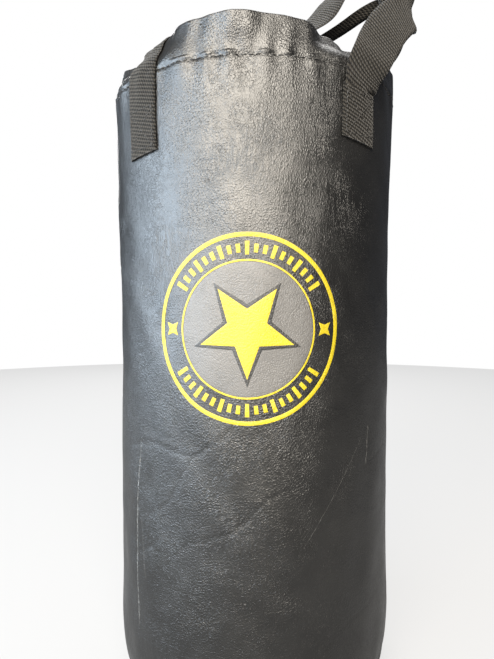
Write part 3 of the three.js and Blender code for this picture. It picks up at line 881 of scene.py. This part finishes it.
def panel_sheet(name, node, side, material):
    """One half of the top panel: crowned a little over its foam and turned under along the zip."""
    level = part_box(node)[1][2]
    radius = BAG_RADIUS + FLARE - COLLAR_WALL - 0.0008
    slit_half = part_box("zipper_tape_front")[1][0] - 0.0015
    rows = []
    across, along = 46, 150
    for i in range(across):
        share = i / (across - 1)
        y = ZIP_GAP + (radius * 0.9995 - ZIP_GAP) * share
        reach = math.sqrt(max(radius ** 2 - y ** 2, 0))
        x = np.linspace(-1, 1, along) * reach
        open_here = smooth((slit_half + 0.001 - np.abs(x)) / 0.003)  # the halves meet beyond the zip's ends
        closed = max(0.0, (y - ZIP_GAP) / (2 * ZIP_GAP))
        y_here = 0.0004 + (y - 0.0004) * np.where(y < 3 * ZIP_GAP, open_here + (1 - open_here) * closed, 1)
        dist = np.sqrt(x ** 2 + y ** 2) / radius
        crown = CROWN * (1 - dist ** 2) + 0.0005 * np.sin(x * 70) * (1 - dist) * math.cos(y * 60)
        roll = -0.0009 * math.exp(-((y - ZIP_GAP) / 0.0012) ** 2)
        rows.append(np.stack([x, y_here * side, level - 0.0004 + crown + roll], -1))
    top = np.array(rows)
    bottom = top - np.array([0, 0, SHEET_THICK])
    verts = np.concatenate([top.reshape(-1, 3), bottom.reshape(-1, 3)])
    n = across * along
    faces = grid_faces(across, along)
    faces = [tuple(reversed(f)) for f in faces] if side < 0 else faces
    lower = [tuple(reversed([v + n for v in f])) for f in faces]
    border = list(range(along))
    border += [r * along + along - 1 for r in range(1, across)]
    border += [(across - 1) * along + c for c in range(along - 2, -1, -1)]
    border += [r * along for r in range(across - 2, 0, -1)]
    skirt = []
    for i in range(len(border)):
        a, b = border[i], border[(i + 1) % len(border)]
        quad = (b, a, a + n, b + n)
        skirt.append(quad if side > 0 else tuple(reversed(quad)))
    obj = mesh_piece(name, verts, faces + lower + skirt, material, uv=verts[:, :2] + 0.3)
    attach(obj, "bag")
    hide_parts(node)
    places = []
    for i in range(44):
        x = -0.108 + 0.216 * (i + 0.5) / 44
        y = ZIP_GAP + 0.0032
        dist = math.hypot(x, y) / radius
        places.append(((x, y * side, level - 0.0002 + CROWN * (1 - dist ** 2)), (1, 0, 0), (0, 0, 1)))
    row = stitches(name + "_stitches", places, THREAD, thick=0.0009, length=0.0036)


panel_sheet("top_sheet_front", "top_panel_front", -1, VINYL)
panel_sheet("top_sheet_back", "top_panel_back", 1, VINYL)


def bottom_sheet():
    """The base: a flat round sheet, puckered where it is sewn to the wall."""
    floor_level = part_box("bottom_panel")[0][2]
    rings, spokes = 26, 160
    edge = float(outline(np.array(BASE_GAP))) - 0.0008
    verts = []
    for r in range(rings + 1):
        share = r / rings
        for k in range(spokes):
            a = TAU * k / spokes
            radius = max(edge * share, 0.0002)
            ripple = 0.0004 * math.sin(31 * a) * smooth((share - 0.9) / 0.1)
            rise = 0.0022 * smooth((share - 0.93) / 0.07) + ripple
            verts.append((radius * math.cos(a), radius * math.sin(a), floor_level + 0.00005 + max(rise, 0)))
    faces = grid_faces(rings + 1, spokes, wrap_columns=True)
    faces = [tuple(reversed(f)) for f in faces]
    faces.append(tuple(reversed(range(spokes))))
    obj = mesh_piece("bottom_sheet", verts, faces, VINYL, uv=np.array(verts)[:, :2] + 0.7)
    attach(obj, "bag")
    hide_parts("bottom_panel")
    places = []
    count = 118
    for i in range(count):
        a = TAU * i / count
        radius = edge * 0.955
        place = (radius * math.cos(a), radius * math.sin(a), 0.0006)
        places.append((place, (-math.sin(a), math.cos(a), 0), (0, 0, -1)))
    row = stitches("bottom_stitches", places, THREAD, thick=0.0008)


bottom_sheet()

# ---------------------------------------------------------------- CAD nodes that stay
KEPT = {
    "zip_metal": ZIP_METAL,
    "zip_tape": ZIP_TAPE,
    "backing": cloth_material("backing_canvas", (0.16, 0.15, 0.13)),
    "felt": cloth_material("felt_grey", (0.27, 0.26, 0.22), 0.003),
    "fibre": cloth_material("shredded_fibre", (0.40, 0.36, 0.30), 0.006),
    "foam": cloth_material("foam_cells", (0.60, 0.55, 0.40), 0.002),
    "sack": cloth_material("sack_canvas", (0.11, 0.09, 0.06), 0.0015),
    "ring_steel": STEEL,
    "vinyl": VINYL,
    "webbing": cloth_material("plain_webbing", (0.03, 0.03, 0.033)),
}
slot_of = {part["node"]: part["material_slot"] for part in frame["record"]["subparts"]}
for node, obj in frame["nodes"].items():
    obj.data.materials.clear()
    obj.data.materials.append(KEPT[slot_of[node]])


# ---------------------------------------------------------------- stage, light and camera
def make_stage():
    """A round white floor."""
    s = Shader("studio_white", (0.07, 0.07, 0.07), 0.9, specular=0.1)
    s.surface.inputs["Emission Color"].default_value = (1, 1, 1, 1)
    path = s.add("ShaderNodeLightPath")
    seen = s.add("ShaderNodeMapRange")  # the floor glows less on the bag than it does to the eye
    s.feed(seen, Value=path.outputs["Is Camera Ray"], To_Min=0.30, To_Max=0.66)
    s.tree.links.new(seen.outputs[0], s.surface.inputs["Emission Strength"])
    spokes, reach = 96, 3.0
    turns = [TAU * k / spokes for k in range(spokes)]
    verts = [(reach * math.cos(a), reach * math.sin(a), -0.0004) for a in turns]
    floor = mesh_piece("floor", verts, [tuple(range(spokes))], s.material, smooth_shade=False)


def area_light(name, place, target, width, height, power, colour):
    light = bpy.data.lights.new(name, "AREA")
    light.shape = "RECTANGLE"
    light.size, light.size_y = width, height
    light.energy = power
    light.color = colour
    obj = bpy.data.objects.new(name, light)
    obj.location = place
    obj.rotation_euler = (Vector(target) - Vector(place)).to_track_quat("-Z", "Y").to_euler()
    bpy.context.scene.collection.objects.link(obj)


def make_world():
    world = bpy.data.worlds.new("studio")
    bpy.context.scene.world = world
    world.use_nodes = True
    tree = world.node_tree
    tree.nodes.clear()
    seen = tree.nodes.new("ShaderNodeBackground")
    seen.inputs["Color"].default_value = (1, 1, 1, 1)
    seen.inputs["Strength"].default_value = 1.0
    lit = tree.nodes.new("ShaderNodeBackground")
    lit.inputs["Color"].default_value = (0.80, 0.86, 1.0, 1)
    lit.inputs["Strength"].default_value = 0.12
    path = tree.nodes.new("ShaderNodeLightPath")
    mix = tree.nodes.new("ShaderNodeMixShader")
    out = tree.nodes.new("ShaderNodeOutputWorld")
    tree.links.new(path.outputs["Is Camera Ray"], mix.inputs[0])
    tree.links.new(lit.outputs[0], mix.inputs[1])
    tree.links.new(seen.outputs[0], mix.inputs[2])
    tree.links.new(mix.outputs[0], out.inputs[0])


CAMERA_DISTANCE = 4 * BAG_RADIUS
CAMERA_HEIGHT = 0.398
CAMERA_TURN = math.radians(2.3)
CAMERA_YAW = math.radians(0.78)
CAMERA_PITCH = math.radians(2.73)
FOCAL_HEIGHTS = 513 / 659  # focal length as a share of the picture's height


def make_camera():
    data = bpy.data.cameras.new("camera")
    data.sensor_fit = "VERTICAL"
    data.sensor_height = 24.0
    data.lens = 24.0 * FOCAL_HEIGHTS
    data.clip_start = 0.01
    obj = bpy.data.objects.new("camera", data)
    obj.location = (CAMERA_DISTANCE * math.sin(CAMERA_TURN), -CAMERA_DISTANCE * math.cos(CAMERA_TURN),
                    CAMERA_HEIGHT)
    heading = CAMERA_TURN + CAMERA_YAW
    forward = Vector((-math.sin(heading) * math.cos(CAMERA_PITCH), math.cos(heading) * math.cos(CAMERA_PITCH),
                      -math.sin(CAMERA_PITCH)))
    obj.rotation_euler = forward.to_track_quat("-Z", "Y").to_euler()
    bpy.context.scene.collection.objects.link(obj)
    bpy.context.scene.camera = obj


make_stage()
make_world()
make_camera()
# cool window light from the left, a warm softbox high in front, and weak fills
middle = (0, 0, 0.35)
area_light("window_left", (-1.80, -0.75, 0.75), middle, 2.2, 1.4, 140, (0.72, 0.86, 1.0))
area_light("softbox_front", (-0.22, -2.2, 1.45), (0, 0, 0.60), 2.6, 1.9, 375, (1.0, 0.925, 0.81))
area_light("low_left", (-1.45, -1.35, 0.22), (0, 0, 0.12), 0.9, 0.35, 17, (0.90, 0.95, 1.0))
area_light("fill_top", (0.1, 0.6, 2.4), middle, 1.4, 1.4, 34, (1.0, 0.98, 0.95))
area_light("fill_back", (-0.4, 2.4, 1.6), middle, 1.8, 1.2, 75, (1.0, 1.0, 1.0))
bpy.context.scene.view_settings.view_transform = "Standard"
